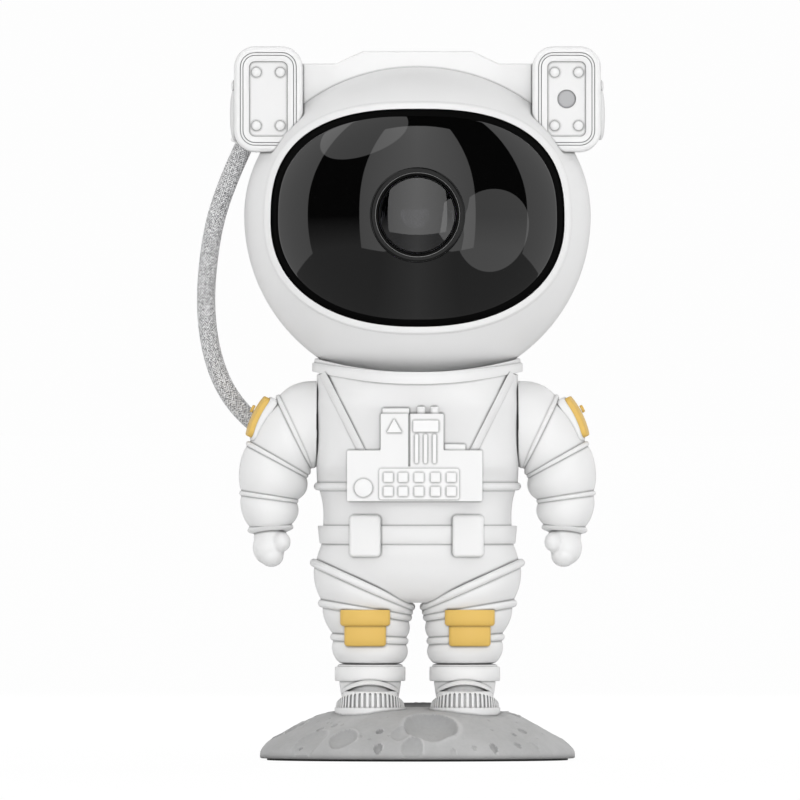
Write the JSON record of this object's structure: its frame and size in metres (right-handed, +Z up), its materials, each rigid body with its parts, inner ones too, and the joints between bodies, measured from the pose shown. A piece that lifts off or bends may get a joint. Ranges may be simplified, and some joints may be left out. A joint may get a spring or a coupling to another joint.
{
  "type": "astronaut night-light projector",
  "caption": "Table-top star and nebula projector shaped as an astronaut on a moon rock, with a magnetic turning head, swinging arms and buttons on its backpack.",
  "frame": {"origin": "middle of the flat underside of the base", "axes": "+Z up; the visor faces -Y; -X is the object's right hand side as it looks out, where the hose is"},
  "size_m": [0.1285, 0.1113, 0.2246],
  "materials": {
    "white_plastic": "satin white ABS",
    "silver_trim": "satin light grey ABS",
    "white_keys": "satin white ABS",
    "yellow_plastic": "satin ochre yellow ABS",
    "rock_plastic": "speckled grey, matt",
    "black_plastic": "matt black",
    "visor_plastic": "dark, mirror-like gloss",
    "clear_glass": "clear",
    "film": "printed clear disc",
    "nylon": "natural nylon",
    "steel": "plated",
    "aluminium": "milled",
    "brass": "turned",
    "board": "green circuit board",
    "rubber": "black rubber",
    "braid": "woven silver-grey sleeve"
  },
  "bodies": {
    "torso": {"base_foot_pad": "rubber", "moon_base": "rock_plastic", "base_weight": "steel", "left_boot": "white_plastic", "right_boot": "white_plastic", "leg_screws": "steel", "body_front_shell": "white_plastic", "body_rear_shell": "white_plastic", "body_screws": "steel", "left_knee_pad": "yellow_plastic", "right_knee_pad": "yellow_plastic", "belt": "white_plastic", "neck_collar": "white_plastic", "harness_straps": "white_plastic", "chest_pack": "white_plastic", "chest_keys": "white_keys", "left_arm_axle": "steel", "right_arm_axle": "steel", "backpack_shell": "white_plastic", "backpack_cover": "white_plastic", "control_board": "board", "usb_socket": "steel", "hose_lower_gland": "black_plastic", "hose_lower": "braid"},
    "neck": {"neck_cup": "black_plastic", "neck_magnet": "steel"},
    "head": {"head_front_shell": "white_plastic", "head_rear_shell": "white_plastic", "head_screws": "steel", "visor_rim": "white_plastic", "visor_gasket": "black_plastic", "visor": "visor_plastic", "head_steel_pad": "steel", "lens_bezel": "black_plastic", "projection_lens": "clear_glass", "lens_barrel": "black_plastic", "optics_chassis": "black_plastic", "condenser_lens": "clear_glass", "led_board": "board", "heat_sink": "aluminium", "disc_motor": "steel", "left_ear_box": "white_plastic", "right_ear_box": "white_plastic", "ear_panels": "silver_trim", "laser_window": "clear_glass", "laser_module": "brass", "crossbar": "white_plastic", "hose_upper_gland": "black_plastic", "hose_upper": "braid"},
    "disc": {"nebula_disc": "film"},
    "pinion": {"motor_pinion": "nylon"},
    "left_arm": {"left_arm": "white_plastic", "left_hand": "white_plastic", "left_shoulder_patch": "yellow_plastic"},
    "right_arm": {"right_arm": "white_plastic", "right_hand": "white_plastic", "right_shoulder_patch": "yellow_plastic"},
    "power_button": {"power_button": "white_keys"},
    "nebula_button": {"nebula_button": "white_keys"},
    "star_button": {"star_button": "white_keys"}
  },
  "joints": [
    {"name": "head_turn", "type": "hinge", "parent": "torso", "child": "neck", "pos_m": [0, 0, 0.112], "axis": [0, 0, 1], "range_deg": [-30, 30], "deforming": ["hose_lower", "hose_upper"]},
    {"name": "head_tilt", "type": "hinge", "parent": "neck", "child": "head", "pos_m": [0, 0, 0.1714], "axis": [-1, 0, 0], "range_deg": [-8, 40], "deforming": ["hose_upper"]},
    {"name": "disc_spin", "type": "hinge", "parent": "head", "child": "disc", "pos_m": [0, -0.0216, 0.1594], "axis": [0, -1, 0], "continuous": true},
    {"name": "pinion_spin", "type": "hinge", "parent": "head", "child": "pinion", "pos_m": [0.02511, -0.0216, 0.1449], "axis": [0, -1, 0], "continuous": true},
    {"name": "left_shoulder", "type": "hinge", "parent": "torso", "child": "left_arm", "pos_m": [-0.0324, 0, 0.1065], "axis": [-1, 0, 0], "range_deg": [-10, 100]},
    {"name": "right_shoulder", "type": "hinge", "parent": "torso", "child": "right_arm", "pos_m": [0.0324, 0, 0.1065], "axis": [-1, 0, 0], "range_deg": [-10, 100]},
    {"name": "power_button_press", "type": "slide", "parent": "torso", "child": "power_button", "axis": [0, -1, 0], "range_m": [0, 0.0008], "stiffness_N_per_m": 900, "springref_m": -0.0008},
    {"name": "nebula_button_press", "type": "slide", "parent": "torso", "child": "nebula_button", "axis": [0, -1, 0], "range_m": [0, 0.0008], "stiffness_N_per_m": 900, "springref_m": -0.0008},
    {"name": "star_button_press", "type": "slide", "parent": "torso", "child": "star_button", "axis": [0, -1, 0], "range_m": [0, 0.0008], "stiffness_N_per_m": 900, "springref_m": -0.0008}
  ],
  "couplings": [
    {"joint": "pinion_spin", "follows": "disc_spin", "ratio": -4.8}
  ]
}
